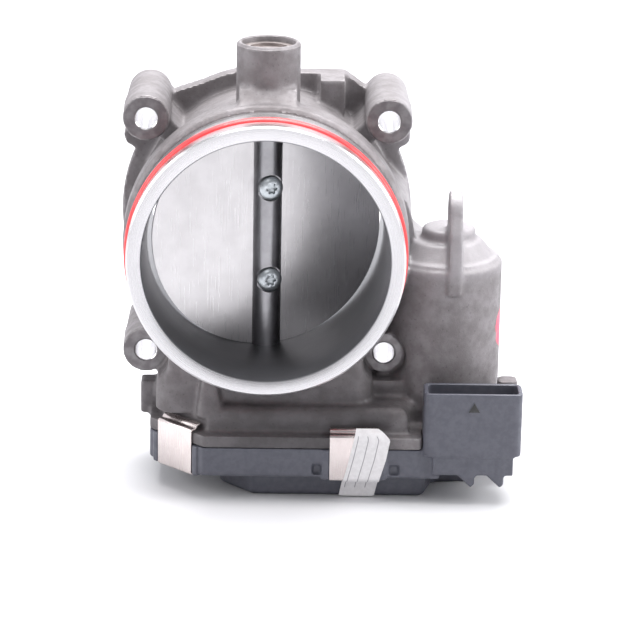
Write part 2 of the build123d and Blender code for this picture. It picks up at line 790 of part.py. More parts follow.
with BuildPart() as gear_cover:
    # Rim and raised middle
    with BuildSketch(Plane.XY.offset(cover_edge_z)):
        add(case_outline.sketch)
    extrude(amount=seam_z - cover_edge_z)
    chamfer(gear_cover.faces().sort_by(Axis.Z)[0].edges(), 0.7)
    with BuildSketch(Plane.XY.offset(cover_edge_z)):
        add(plateau(0))
    extrude(amount=cover_bottom_z - cover_edge_z, taper=4)
    chamfer(gear_cover.faces().sort_by(Axis.Z)[0].edges(), 1.2)

    # Posts beside each clip
    for place in clip_places:
        for side in (-1, 1):
            across = side * (clip_width / 2 + 1.4)
            with BuildSketch(clip_plane(place).offset(across - 1.1)):
                with Locations((-0.9, (seam_z + cover_edge_z) / 2 - 0.3)):
                    Rectangle(3.4, seam_z - cover_edge_z + 0.2)
            extrude(amount=2.2)

    # Connector: foot, shroud and ribs
    with BuildSketch(level(68.9, (plug_front - 50) / 2, -73.6)):
        Rectangle(26.4, -50 - plug_front - 1.0)
    extrude(amount=plug_bottom + 73.6)
    with BuildSketch(level(plug_x, plug_y, plug_bottom)) as shroud:
        Rectangle(plug_right - plug_left, plug_back - plug_front)
        fillet(shroud.vertices(), 2.4)
    extrude(amount=plug_top - plug_bottom)
    with BuildSketch(level(54.2, -57.8, cover_edge_z)):
        Rectangle(7.6, 11.6)
    extrude(amount=plug_bottom - cover_edge_z)
    for rib_x in (68.3, 77.9):
        with BuildSketch(Plane.XZ.offset(62.6)):
            with BuildLine():
                Polyline((rib_x - 1.2, -67.5), (rib_x + 1.2, -67.5), (rib_x + 1.2, -76.6),
                         (rib_x, -77.8), (rib_x - 3.8, -74.2), (rib_x - 1.2, -73.4), close=True)
            make_face()
        extrude(amount=2.6)
    with BuildSketch(level(plug_x, plug_y, plug_floor)) as mouth:
        Rectangle(plug_right - plug_left - 2 * plug_wall, plug_back - plug_front - 2 * plug_wall)
        fillet(mouth.vertices(), 1.2)
    extrude(amount=plug_top - plug_floor, mode=Mode.SUBTRACT)
    with BuildSketch(Plane.XZ.offset(-plug_front)):
        with Locations((68.7, -50.3)):
            RegularPolygon(2.1, 3, rotation=90)
    extrude(amount=0.3)

    # Small recesses in the front wall
    for recess_x in (17.6, 43.0):
        with BuildSketch(Plane.XZ.offset(-case_front)):
            with Locations((recess_x, -72.6)):
                Rectangle(3.2, 3.6)
        extrude(amount=-1.5, mode=Mode.SUBTRACT)

    # Hollow inside
    with BuildSketch(Plane.XY.offset(cover_shelf_z)):
        add(outline(cover_cavity_inset))
    extrude(amount=seam_z - cover_shelf_z, mode=Mode.SUBTRACT)
    with BuildSketch(Plane.XY.offset(cover_floor_z)):
        add(plateau(2.0))
    extrude(amount=cover_shelf_z - cover_floor_z, mode=Mode.SUBTRACT)
    with BuildSketch(level(idler_x, shaft_y, cover_floor_z)):
        Circle(4.4)
        Circle(idler_pin_r + 0.05, mode=Mode.SUBTRACT)
    extrude(amount=2.6)

    # Gasket groove and holes for the connector pins
    with BuildSketch(Plane.XY.offset(seam_z)):
        add(outline(1.1))
        add(outline(2.9), mode=Mode.SUBTRACT)
    extrude(amount=-1.6, mode=Mode.SUBTRACT)
    for pin_x in pin_places:
        with BuildSketch(level(pin_x, plug_y, -70.5)):
            Rectangle(1.5, 0.8)
        extrude(amount=12, mode=Mode.SUBTRACT)
save(gear_cover, "gear_cover")

with BuildPart() as cover_gasket:
    with BuildSketch(Plane.XY.offset(seam_z - 1.6)):
        add(outline(1.1))
        add(outline(2.9), mode=Mode.SUBTRACT)
    extrude(amount=1.6)
save(cover_gasket, "cover_gasket")

with BuildPart() as cover_clips:
    for place in clip_places:
        with BuildSketch(clip_plane(place).offset(-clip_width / 2)):
            with BuildLine():
                t = clip_thickness
                top = flange_top_z
                Polyline((-3.6, top + 1.2), (-3.6, top + 2.1), (-2.4, top + 2.1),
                         (-0.6, top + t), (t, top + t), (t, clip_bottom_z),
                         (-3.4, clip_bottom_z), (-3.4, cover_edge_z), (0, cover_edge_z),
                         (0, top), (-1.0, top), (-2.8, top + 1.2), close=True)
            make_face()
        extrude(amount=clip_width)
save(cover_clips, "cover_clips")

with BuildPart() as connector_pins:
    for pin_x in pin_places:
        with BuildSketch(level(pin_x, plug_y, -70.5)):
            Rectangle(1.5, 0.8)
        extrude(amount=17.5)
save(connector_pins, "connector_pins")

with BuildPart() as motor_contacts:
    for side in (-1, 1):
        with BuildSketch(level(motor_x + 8, shaft_y + side * 7, cover_floor_z)):
            Rectangle(0.9, 3.6)
        extrude(amount=-65.8 - cover_floor_z)
save(motor_contacts, "motor_contacts")

with BuildPart() as sensor_board:
    with BuildSketch(level(-1, shaft_y, cover_floor_z)):
        Rectangle(22, 24)
    extrude(amount=1.2)
save(sensor_board, "sensor_board")

with BuildPart() as sensor_chip:
    with BuildSketch(level(0, shaft_y, cover_floor_z + 1.2)):
        Rectangle(6, 5)
    extrude(amount=1.1)
save(sensor_chip, "sensor_chip")

# Blank paper seal over the front clip, its lower end folded back to the cover
label_y = case_front - clip_thickness
with BuildPart() as cover_label:
    with BuildSketch(Plane.XZ.offset(-label_y)):
        with BuildLine():
            Polyline((30.0, -58.9), (39.2, -58.9), (41.6, -61.4), (38.1, -76.2), (26.1, -76.2),
                     close=True)
        make_face()
    extrude(amount=0.2)
    with BuildSketch(Plane(origin=(0, label_y - 0.2, -76.2), x_dir=(1, 0, 0),
                           z_dir=(0, -sin(radians(50)), -cos(radians(50))))):
        with BuildLine():
            Polyline((26.1, 0), (38.1, 0), (36.8, -9.2), (24.9, -9.2), close=True)
        make_face()
    extrude(amount=0.2)
save(cover_label, "cover_label")
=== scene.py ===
# %% [markdown]
# # An electronic throttle body
# A cast housing with a round air passage, a butterfly plate on an upright shaft, and a small motor
# that turns the shaft through gears under a black plastic cover. The CAD model already holds every
# part at its place and size. This lesson gives the parts their looks: softened casting edges, a
# turned spigot, rolled clips, a paper seal, and a finish for every surface.

# %% Load the frame
import json
from math import atan2, cos, hypot, pi, radians, sin

import bpy
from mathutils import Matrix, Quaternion, Vector

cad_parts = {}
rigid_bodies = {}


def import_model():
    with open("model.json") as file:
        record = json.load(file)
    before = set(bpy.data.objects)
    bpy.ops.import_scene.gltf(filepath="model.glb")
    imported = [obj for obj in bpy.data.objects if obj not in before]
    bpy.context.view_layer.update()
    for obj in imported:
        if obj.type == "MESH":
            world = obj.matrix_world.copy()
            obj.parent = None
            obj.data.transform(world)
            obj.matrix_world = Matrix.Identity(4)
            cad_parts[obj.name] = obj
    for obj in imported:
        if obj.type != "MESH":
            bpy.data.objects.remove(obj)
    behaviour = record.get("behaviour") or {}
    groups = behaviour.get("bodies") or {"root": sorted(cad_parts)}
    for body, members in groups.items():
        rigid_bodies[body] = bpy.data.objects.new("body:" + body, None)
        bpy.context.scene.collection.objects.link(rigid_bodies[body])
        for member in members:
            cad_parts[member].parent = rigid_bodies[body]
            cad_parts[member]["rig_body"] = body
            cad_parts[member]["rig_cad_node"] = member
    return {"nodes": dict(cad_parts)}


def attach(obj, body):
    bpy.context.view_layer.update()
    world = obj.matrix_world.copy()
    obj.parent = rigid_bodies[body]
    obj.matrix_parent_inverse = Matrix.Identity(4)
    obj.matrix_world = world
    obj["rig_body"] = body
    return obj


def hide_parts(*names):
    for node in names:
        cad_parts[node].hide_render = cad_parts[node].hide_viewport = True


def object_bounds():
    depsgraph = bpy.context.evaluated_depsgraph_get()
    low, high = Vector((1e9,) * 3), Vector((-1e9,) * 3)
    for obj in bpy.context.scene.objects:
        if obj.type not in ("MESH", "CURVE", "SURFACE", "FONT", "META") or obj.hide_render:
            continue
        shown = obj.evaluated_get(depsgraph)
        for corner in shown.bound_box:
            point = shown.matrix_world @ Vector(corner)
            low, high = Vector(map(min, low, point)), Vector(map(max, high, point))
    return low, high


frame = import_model()
cad_low, cad_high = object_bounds()
mm = 0.001
print("CAD box:", [round(v, 4) for v in cad_low], [round(v, 4) for v in cad_high])

# %% [markdown]
# ## Camera
# The part is seen from the air-inlet side, a little from above, through a long lens so that the
# round spigot stays round. Azimuth and elevation place the camera on a sphere round a target, and
# a small roll about the line of sight finishes the framing.

# %% Camera
view_azimuth = radians(-0.96)
view_elevation = radians(17.8)
view_roll = radians(1.07)
view_distance = 1.0
view_target = Vector((17.65 * mm, cad_low.y, -18.83 * mm))

back = Vector((sin(view_azimuth) * cos(view_elevation),
               -cos(view_azimuth) * cos(view_elevation),
               sin(view_elevation)))
bpy.ops.object.camera_add(location=view_target + back * view_distance)
camera = bpy.context.object
camera.rotation_mode = "QUATERNION"
camera.rotation_quaternion = back.to_track_quat("Z", "Y") @ Quaternion((0, 0, 1), view_roll)
camera.data.sensor_width = 36
camera.data.lens = 174.8
camera.data.clip_start = 0.05
bpy.context.scene.camera = camera
print("camera at", [round(v, 3) for v in camera.location])

# %% [markdown]
# ## Studio
# A pale floor runs back under the sky, so the horizon never shows. Most of the light comes from a
# wide panel above and from the sky behind, which makes every upward face almost white and leaves the
# faces towards the camera dark. Two weak panels at the sides draw highlights along the round forms.

# %% Floor, sky and lights
floor_size = 8.0
bpy.ops.mesh.primitive_grid_add(x_subdivisions=4, y_subdivisions=4, size=floor_size,
                                location=(0, 0, cad_low.z))
floor = bpy.context.object
floor.name = "floor"
bpy.ops.object.transform_apply(location=True, rotation=False, scale=False)
floor_finish = bpy.data.materials.new("pale_floor")
floor_finish.use_nodes = True
floor_shader = floor_finish.node_tree.nodes["Principled BSDF"]
floor_shader.inputs["Base Color"].default_value = (0.56, 0.56, 0.575, 1)
floor_shader.inputs["Roughness"].default_value = 0.6
floor.data.materials.append(floor_finish)


def add_panel(name, spot, size, power, aim=(0.015, -0.035, -0.01)):
    """A square light panel at a place, turned to face the aim point."""
    bpy.ops.object.light_add(type="AREA", location=spot)
    panel = bpy.context.object
    panel.name = name
    panel.data.size = size
    panel.data.energy = power
    away = Vector(spot) - Vector(aim)
    panel.rotation_euler = away.to_track_quat("Z", "Y").to_euler()
    return panel


add_panel("top_panel", (0.05, 0.20, 1.0), 1.0, 33.0)
add_panel("left_panel", (-0.85, -0.25, 0.35), 0.6, 5.5)
add_panel("right_panel", (0.9, -0.25, 0.45), 0.6, 9.0)
add_panel("front_panel", (0.3, -1.3, 0.75), 0.6, 2.0)

sky_front, sky_back, sky_fade = 0.42, 1.3, 0.35
world = bpy.data.worlds.new("studio_sky")
bpy.context.scene.world = world
world.use_nodes = True
sky = world.node_tree
heading = sky.nodes.new("ShaderNodeTexCoord")
split = sky.nodes.new("ShaderNodeSeparateXYZ")
fade = sky.nodes.new("ShaderNodeMapRange")
fade.inputs["From Min"].default_value = -sky_fade
fade.inputs["From Max"].default_value = sky_fade
fade.inputs["To Min"].default_value = sky_front
fade.inputs["To Max"].default_value = sky_back
sky.links.new(heading.outputs["Generated"], split.inputs[0])
sky.links.new(split.outputs["Y"], fade.inputs["Value"])
sky.links.new(fade.outputs["Result"], sky.nodes["Background"].inputs["Strength"])
sky.nodes["Background"].inputs["Color"].default_value = (0.955, 0.955, 1, 1)
bpy.context.scene.view_settings.view_transform = "Standard"

# %% [markdown]
# ## Shared shader effects
# Real surfaces are never one flat colour, so four small node groups add what use and making leave
# behind: the grain of a casting or moulding, the streaks of brushing, the rings of turning, and the
# bright wear of edges. Each is built once, reads Object coordinates, and puts out only masks and
# heights. Every material then sets its own size and strength.

# %% Group helpers
def start_group(name, sockets_in, sockets_out):
    """An empty shader group with float inputs (name, default) and outputs."""
    group = bpy.data.node_groups.new(name, "ShaderNodeTree")
    for label, default in sockets_in:
        socket = group.interface.new_socket(label, in_out="INPUT", socket_type="NodeSocketFloat")
        socket.default_value = default
    for label in sockets_out:
        group.interface.new_socket(label, in_out="OUTPUT", socket_type="NodeSocketFloat")
    return group, group.nodes.new("NodeGroupInput"), group.nodes.new("NodeGroupOutput")


def put(tree, kind, **settings):
    """Adds a node; settings are its properties, or input values by socket name."""
    node = tree.nodes.new(kind)
    for key, value in settings.items():
        label = key.replace("_", " ").title()
        if hasattr(node, key):
            setattr(node, key, value)
        else:
            node.inputs[label].default_value = value
    return node


def compute(tree, operation, *values):
    """A Math node; each value is a number or a socket. Returns its output."""
    node = put(tree, "ShaderNodeMath", operation=operation)
    for socket, value in zip(node.inputs, values):
        if isinstance(value, (int, float)):
            socket.default_value = value
        else:
            tree.links.new(value, socket)
    return node.outputs[0]


def multiply(tree, first, second):
    """first times second."""
    return compute(tree, "MULTIPLY", first, second)


def invert(tree, mask):
    """0 where a mask is 1, and 1 where it is 0."""
    return compute(tree, "SUBTRACT", 1.0, mask)


def ramp(tree, value, low, high):
    """0 below low, 1 above high, smooth between. Returns the output."""
    node = put(tree, "ShaderNodeMapRange", interpolation_type="SMOOTHSTEP")
    tree.links.new(value, node.inputs["Value"])
    node.inputs["From Min"].default_value = low
    node.inputs["From Max"].default_value = high
    return node.outputs["Result"]


def noise(tree, vector, scale, detail=3.0, rough=0.5):
    """A noise texture on a vector; scale is a number or a socket. Returns its factor."""
    node = put(tree, "ShaderNodeTexNoise", detail=detail, roughness=rough)
    tree.links.new(vector, node.inputs["Vector"])
    if isinstance(scale, (int, float)):
        node.inputs["Scale"].default_value = scale
    else:
        tree.links.new(scale, node.inputs["Scale"])
    return node.outputs["Fac"]


def place(tree):
    """Object coordinates, in metres."""
    return put(tree, "ShaderNodeTexCoord").outputs["Object"]


# %% Grain group: the skin of castings and mouldings
grain, grain_in, grain_out = start_group(
    "surface_grain", [("Per Metre", 2500.0)], ["Height", "Mottle", "Pits"])
where = place(grain)
fine = noise(grain, where, grain_in.outputs["Per Metre"], 4.0, 0.6)
wide = noise(grain, where, multiply(grain, grain_in.outputs["Per Metre"], 0.09), 5.0, 0.62)
cells = put(grain, "ShaderNodeTexVoronoi")
grain.links.new(where, cells.inputs["Vector"])
grain.links.new(multiply(grain, grain_in.outputs["Per Metre"], 0.22), cells.inputs["Scale"])
grain.links.new(compute(grain, "ADD", multiply(grain, fine, 0.6), multiply(grain, wide, 0.9)),
                grain_out.inputs["Height"])
grain.links.new(ramp(grain, wide, 0.34, 0.68), grain_out.inputs["Mottle"])
grain.links.new(invert(grain, ramp(grain, cells.outputs["Distance"], 0.05, 0.22)),
                grain_out.inputs["Pits"])

# %% Streak group: fine lines of brushing or rolling along Z
streaks, streaks_in, streaks_out = start_group(
    "brushed_streaks", [("Per Metre", 6000.0), ("Stretch", 0.02)], ["Height"])
split = put(streaks, "ShaderNodeSeparateXYZ")
streaks.links.new(place(streaks), split.inputs[0])
join = put(streaks, "ShaderNodeCombineXYZ")
streaks.links.new(split.outputs["X"], join.inputs["X"])
streaks.links.new(split.outputs["Y"], join.inputs["Y"])
streaks.links.new(multiply(streaks, split.outputs["Z"], streaks_in.outputs["Stretch"]),
                  join.inputs["Z"])
streaks.links.new(noise(streaks, join.outputs[0], streaks_in.outputs["Per Metre"], 2.0),
                  streaks_out.inputs["Height"])

# %% Turned group: rings left by a lathe tool about a Y axis through (Centre X, Centre Z)
turned, turned_in, turned_out = start_group(
    "turned_rings", [("Centre X", 0.0), ("Centre Z", 0.0), ("Per Metre", 4000.0)],
    ["Height", "Radius"])
split = put(turned, "ShaderNodeSeparateXYZ")
turned.links.new(place(turned), split.inputs[0])
across = compute(turned, "SUBTRACT", split.outputs["X"], turned_in.outputs["Centre X"])
up = compute(turned, "SUBTRACT", split.outputs["Z"], turned_in.outputs["Centre Z"])
radius = compute(turned, "SQRT", compute(turned, "ADD", multiply(turned, across, across),
                                         multiply(turned, up, up)))
join = put(turned, "ShaderNodeCombineXYZ")
turned.links.new(radius, join.inputs["X"])
turned.links.new(split.outputs["Y"], join.inputs["Y"])
turned.links.new(multiply(turned, across, 0.004), join.inputs["Z"])
turned.links.new(noise(turned, join.outputs[0], turned_in.outputs["Per Metre"], 2.0),
                 turned_out.inputs["Height"])
turned.links.new(radius, turned_out.inputs["Radius"])

# %% Wear group: 1 on outer edges, broken up by noise
wear, wear_in, wear_out = start_group("edge_wear", [("Reach", 0.0006), ("Amount", 1.0)], ["Mask"])
rounded = put(wear, "ShaderNodeBevel", samples=4)
wear.links.new(wear_in.outputs["Reach"], rounded.inputs["Radius"])
geometry = put(wear, "ShaderNodeNewGeometry")
agree = put(wear, "ShaderNodeVectorMath", operation="DOT_PRODUCT")
wear.links.new(rounded.outputs["Normal"], agree.inputs[0])
wear.links.new(geometry.outputs["Normal"], agree.inputs[1])
edge = ramp(wear, invert(wear, agree.outputs["Value"]), 0.01, 0.16)
ragged = ramp(wear, noise(wear, place(wear), 420.0, 4.0, 0.65), 0.36, 0.62)
wear.links.new(multiply(wear, multiply(wear, edge, ragged), wear_in.outputs["Amount"]),
               wear_out.inputs["Mask"])
print("shader groups:", [g.name for g in bpy.data.node_groups])


# %% Material helpers
def use(tree, group, **values):
    """Places a shared group in a material with its own values."""
    return put(tree, "ShaderNodeGroup", node_tree=group, **values)


def blend_colours(tree, mask, first, second):
    """A colour that is first where mask is 0 and second where it is 1."""
    node = put(tree, "ShaderNodeMix", data_type="RGBA")
    tree.links.new(mask, node.inputs["Factor"])
    for socket, colour in zip((node.inputs[6], node.inputs[7]), (first, second)):
        if isinstance(colour, tuple):
            socket.default_value = (*colour, 1)
        else:
            tree.links.new(colour, socket)
    return node.outputs[2]


def blend_values(tree, mask, first, second):
    """A number that runs from first to second as mask goes from 0 to 1."""
    node = put(tree, "ShaderNodeMapRange")
    tree.links.new(mask, node.inputs["Value"])
    node.inputs["To Min"].default_value = first
    node.inputs["To Max"].default_value = second
    return node.outputs["Result"]


def start_material(name, metallic, roughness):
    """A new Principled material. Returns it, its tree and its shader."""
    material = bpy.data.materials.new(name)
    material.use_nodes = True
    shader = material.node_tree.nodes["Principled BSDF"]
    shader.inputs["Metallic"].default_value = metallic
    shader.inputs["Roughness"].default_value = roughness
    return material, material.node_tree, shader


def bump(tree, shader, height, depth, strength=1.0):
    """Feeds a height into the shader's normal; depth is in metres."""
    node = put(tree, "ShaderNodeBump", strength=strength, distance=depth)
    tree.links.new(height, node.inputs["Height"])
    tree.links.new(node.outputs["Normal"], shader.inputs["Normal"])


# %% [markdown]
# ## Cast aluminium
# The housing is a pressure die casting. Its skin is grey with a warm stain, mottled where the melt
# cooled unevenly, finely grained and pitted, and rubbed bright along its edges. The manifold face
# is milled flat, and an inspector left a dab of pink paint on the motor housing.

# %% Cast aluminium
def low_shade_mask(tree, x, z):
    """Painted shade: darker low on the housing, left of the motor and stronger towards the middle,
    under the spigot.
    """
    low_down = invert(tree, ramp(tree, z, -0.060, -0.020))
    off_motor = invert(tree, ramp(tree, x, 0.036, 0.050))
    strength = compute(tree, "ADD", 0.35, multiply(tree, ramp(tree, x, -0.030, 0.0), 0.4))
    return multiply(tree, multiply(tree, low_down, off_motor), strength)


def lit_motor_mask(tree, x, z):
    """Painted light: a paler tone on the motor housing's dome and the ear, where the light from the
    right falls.
    """
    above = ramp(tree, z, -0.015, -0.006)
    return multiply(tree, multiply(tree, above, ramp(tree, x, 0.040, 0.047)), 0.6)


def dab_mask(tree, x, y, z):
    """A ragged oval of paint on the right side of the motor housing."""
    side = multiply(tree, compute(tree, "ADD", y, 0.034), 130.0)
    tall = multiply(tree, compute(tree, "ADD", z, 0.031), 120.0)
    spread = compute(tree, "ADD", multiply(tree, side, side), multiply(tree, tall, tall))
    smear = multiply(tree, noise(tree, place(tree), 420.0, 4.0), 0.9)
    oval = invert(tree, ramp(tree, compute(tree, "ADD", spread, smear), 0.9, 1.25))
    return multiply(tree, ramp(tree, x, 0.0752, 0.0762), oval)


def make_casting_material():
    material, tree, shader = start_material("cast_aluminium", 0.30, 0.5)
    skin = use(tree, grain, per_metre=2300.0)
    edges = use(tree, wear, reach=0.0009, amount=0.8)
    axes = put(tree, "ShaderNodeSeparateXYZ")
    tree.links.new(place(tree), axes.inputs[0])
    x, y, z = (axes.outputs[i] for i in range(3))
    stain = ramp(tree, noise(tree, place(tree), 38.0, 6.0, 0.62), 0.42, 0.66)
    milled = ramp(tree, y, -0.0005, -0.0002)
    tone = blend_colours(tree, skin.outputs["Mottle"], (0.158, 0.145, 0.149), (0.205, 0.191, 0.198))
    for mask, colour in (
        (multiply(tree, stain, 0.32), (0.082, 0.070, 0.072)),
        (multiply(tree, skin.outputs["Pits"], 0.35), (0.05, 0.045, 0.045)),
        (multiply(tree, edges.outputs["Mask"], 0.5), (0.56, 0.54, 0.54)),
        # painted shade: a near-black tone low on the housing, left of the motor
        (low_shade_mask(tree, x, z), (0.030, 0.027, 0.030)),
        # painted light: a paler tone on the motor housing's dome and the ear
        (lit_motor_mask(tree, x, z), (0.36, 0.345, 0.36)),
        (milled, (0.42, 0.42, 0.425)),
        (dab_mask(tree, x, y, z), (0.78, 0.10, 0.16)),
    ):
        tone = blend_colours(tree, mask, tone, colour)
    tree.links.new(tone, shader.inputs["Base Color"])
    shine = blend_values(tree, skin.outputs["Mottle"], 0.62, 0.46)
    shine = compute(tree, "ADD", shine, multiply(tree, edges.outputs["Mask"], -0.16))
    tree.links.new(compute(tree, "ADD", shine, multiply(tree, milled, -0.2)),
                   shader.inputs["Roughness"])
    bump(tree, shader, skin.outputs["Height"], 0.00022, 0.75)
    return material


# %% [markdown]
# ## Machined aluminium
# The spigot, the bore and the small faces round the bolt holes are cut by a tool, so they are clean
# and bright, with very fine rings. The bore carries a dark dry coating that keeps deposits off.

# %% Machined aluminium
def make_turned_material():
    material, tree, shader = start_material("turned_aluminium", 1.0, 0.3)
    rings = use(tree, turned, per_metre=5200.0)
    cloud = noise(tree, place(tree), 90.0, 4.0)
    bright = blend_colours(tree, cloud, (0.53, 0.52, 0.53), (0.58, 0.57, 0.58))
    coated = blend_colours(tree, cloud, (0.19, 0.19, 0.20), (0.25, 0.25, 0.265))
    inside = invert(tree, ramp(tree, rings.outputs["Radius"], 0.0402, 0.0406))
    tree.links.new(blend_colours(tree, inside, bright, coated), shader.inputs["Base Color"])
    ring_tone = multiply(tree, rings.outputs["Height"], 0.16)
    tree.links.new(compute(tree, "ADD", ring_tone, blend_values(tree, inside, 0.20, 0.34)),
                   shader.inputs["Roughness"])
    bump(tree, shader, rings.outputs["Height"], 0.00002, 0.5)
    return material


def make_faced_material(name, centre_x, centre_z):
    """A dull spot-faced ring round a bright drilled hole."""
    material, tree, shader = start_material(name, 0.9, 0.4)
    rings = use(tree, turned, centre_x=centre_x, centre_z=centre_z, per_metre=4200.0)
    cloud = ramp(tree, noise(tree, place(tree), 300.0, 4.0), 0.35, 0.65)
    drilled = invert(tree, ramp(tree, rings.outputs["Radius"], 0.0036, 0.0038))
    faced = blend_colours(tree, cloud, (0.13, 0.12, 0.125), (0.20, 0.19, 0.195))
    tree.links.new(blend_colours(tree, drilled, faced, (0.93, 0.92, 0.93)),
                   shader.inputs["Base Color"])
    ring_tone = multiply(tree, rings.outputs["Height"], 0.08)
    tree.links.new(compute(tree, "ADD", ring_tone, blend_values(tree, drilled, 0.36, 0.10)),
                   shader.inputs["Roughness"])
    bump(tree, shader, rings.outputs["Height"], 0.00004, 0.6)
    return material


# %% [markdown]
# ## Sheet and bar metals
# The plate, shaft, screws, clips and the parts inside differ in colour, in how fine their streaks
# are and in how rough they are. One function makes them all.

# %% Sheet and bar metals
def make_metal(name, dark, light, roughness, per_metre=6000.0, stretch=0.02, worn=0.35):
    material, tree, shader = start_material(name, 1.0, roughness)
    lines = use(tree, streaks, per_metre=per_metre, stretch=stretch)
    edges = use(tree, wear, reach=0.0004, amount=worn)
    cloud = ramp(tree, noise(tree, place(tree), 110.0, 5.0, 0.6), 0.3, 0.7)
    tone = blend_colours(tree, cloud, dark, light)
    tone = blend_colours(tree, edges.outputs["Mask"], tone, (0.85, 0.85, 0.85))
    tree.links.new(tone, shader.inputs["Base Color"])
    line_tone = multiply(tree, lines.outputs["Height"], 0.16)
    tree.links.new(compute(tree, "ADD", roughness - 0.08, line_tone), shader.inputs["Roughness"])
    bump(tree, shader, lines.outputs["Height"], 0.00001, 0.5)
    return material


# %% [markdown]
# ## Plastics, rubber and paper
# The cover is nylon filled with glass fibre: nearly black with a blue cast, finely grained, with
# paler scuffs on its edges. Gears are the same plastic without dye. The ring is smooth red silicone,
# and the seal is thin white paper with a few printed rules and no words.

# %% Plastics, rubber and paper
def make_plastic(name, dark, light, roughness, scuffs=0.5, per_metre=5200.0, depth=0.00006):
    material, tree, shader = start_material(name, 0.0, roughness)
    skin = use(tree, grain, per_metre=per_metre)
    edges = use(tree, wear, reach=0.0005, amount=scuffs)
    tone = blend_colours(tree, skin.outputs["Mottle"], dark, light)
    pale = tuple(min(1.0, 2.6 * c + 0.05) for c in light)
    tone = blend_colours(tree, multiply(tree, edges.outputs["Mask"], 0.5), tone, pale)
    tree.links.new(tone, shader.inputs["Base Color"])
    tree.links.new(blend_values(tree, skin.outputs["Mottle"], roughness + 0.06, roughness - 0.06),
                   shader.inputs["Roughness"])
    bump(tree, shader, skin.outputs["Height"], depth, 0.6)
    return material


def margin_mask(tree, value, low, high):
    """1 between low and high, with a thin soft border."""
    border = 0.01
    return multiply(tree, ramp(tree, value, low, low + border),
                    invert(tree, ramp(tree, value, high, high + border)))


def make_paper_material():
    material, tree, shader = start_material("white_paper", 0.0, 0.62)
    skin = use(tree, grain, per_metre=7000.0)
    tone = blend_colours(tree, skin.outputs["Mottle"], (0.58, 0.565, 0.575), (0.65, 0.635, 0.645))
    sheet = put(tree, "ShaderNodeUVMap", uv_map="sheet")
    parts = put(tree, "ShaderNodeSeparateXYZ")
    tree.links.new(sheet.outputs[0], parts.inputs[0])
    bars = compute(tree, "PINGPONG", compute(tree, "SUBTRACT", parts.outputs["X"], 0.12), 0.14)
    thin = invert(tree, ramp(tree, bars, 0.010, 0.016))
    inside = multiply(tree, margin_mask(tree, parts.outputs["Y"], 0.10, 0.90),
                      margin_mask(tree, parts.outputs["X"], 0.10, 0.86))
    ruled = multiply(tree, multiply(tree, thin, inside), 0.75)
    tone = blend_colours(tree, ruled, tone, (0.16, 0.16, 0.17))
    tree.links.new(tone, shader.inputs["Base Color"])
    bump(tree, shader, skin.outputs["Height"], 0.00005, 0.5)
    return material


# %% Make the finishes
casting_finish = make_casting_material()
turned_finish = make_turned_material()
plate_finish = make_metal("brushed_plate", (0.52, 0.505, 0.51), (0.58, 0.565, 0.57), 0.30, 3800.0)
shaft_finish = make_metal("shaft_steel", (0.28, 0.275, 0.285), (0.36, 0.355, 0.37), 0.32, 5200.0)
screw_finish = make_metal("zinc_screw", (0.42, 0.45, 0.47), (0.54, 0.57, 0.59), 0.30, 4000.0, 0.5)
clip_finish = make_metal("bright_clip", (0.56, 0.50, 0.485), (0.63, 0.57, 0.555), 0.25, 4200.0)
plug_finish = make_metal("pressed_plug", (0.26, 0.23, 0.225), (0.38, 0.34, 0.33), 0.45, 3000.0, 1.0)
zinc_finish = make_metal("zinc_sheet", (0.52, 0.53, 0.54), (0.66, 0.67, 0.68), 0.36, 3000.0, 0.3)
bearing_finish = make_metal("ground_bearing", (0.50, 0.50, 0.52), (0.64, 0.64, 0.66), 0.24)
wire_finish = make_metal("spring_wire", (0.34, 0.33, 0.32), (0.48, 0.47, 0.46), 0.34, 5000.0, 1.0)
core_finish = make_metal("iron_core", (0.18, 0.18, 0.19), (0.28, 0.28, 0.29), 0.5, 5000.0, 8.0)
copper_finish = make_metal("winding_copper", (0.55, 0.24, 0.12), (0.76, 0.40, 0.22), 0.32, 6000.0)
brass_finish = make_metal("machined_brass", (0.62, 0.46, 0.20), (0.80, 0.64, 0.34), 0.28)
black_plastic = make_plastic("black_nylon", (0.064, 0.065, 0.083), (0.076, 0.078, 0.098), 0.46)
gear_plastic = make_plastic("natural_nylon", (0.52, 0.47, 0.36), (0.66, 0.61, 0.50), 0.42, 0.2)
magnet_finish = make_plastic("dark_magnet", (0.035, 0.035, 0.04), (0.07, 0.07, 0.075), 0.6)
board_finish = make_plastic("green_board", (0.012, 0.09, 0.035), (0.02, 0.14, 0.06), 0.35, 0.1, 1400.0)
chip_finish = make_plastic("chip_resin", (0.012, 0.012, 0.012), (0.03, 0.03, 0.03), 0.4, 0.2)
black_rubber = make_plastic("black_rubber", (0.012, 0.012, 0.012), (0.025, 0.025, 0.025), 0.7, 0.1)
red_rubber = make_plastic("red_silicone", (0.58, 0.026, 0.030), (0.68, 0.046, 0.050), 0.34, 0.0,
                          3000.0, 0.00003)
paper_finish = make_paper_material()
print("materials:", len(bpy.data.materials))

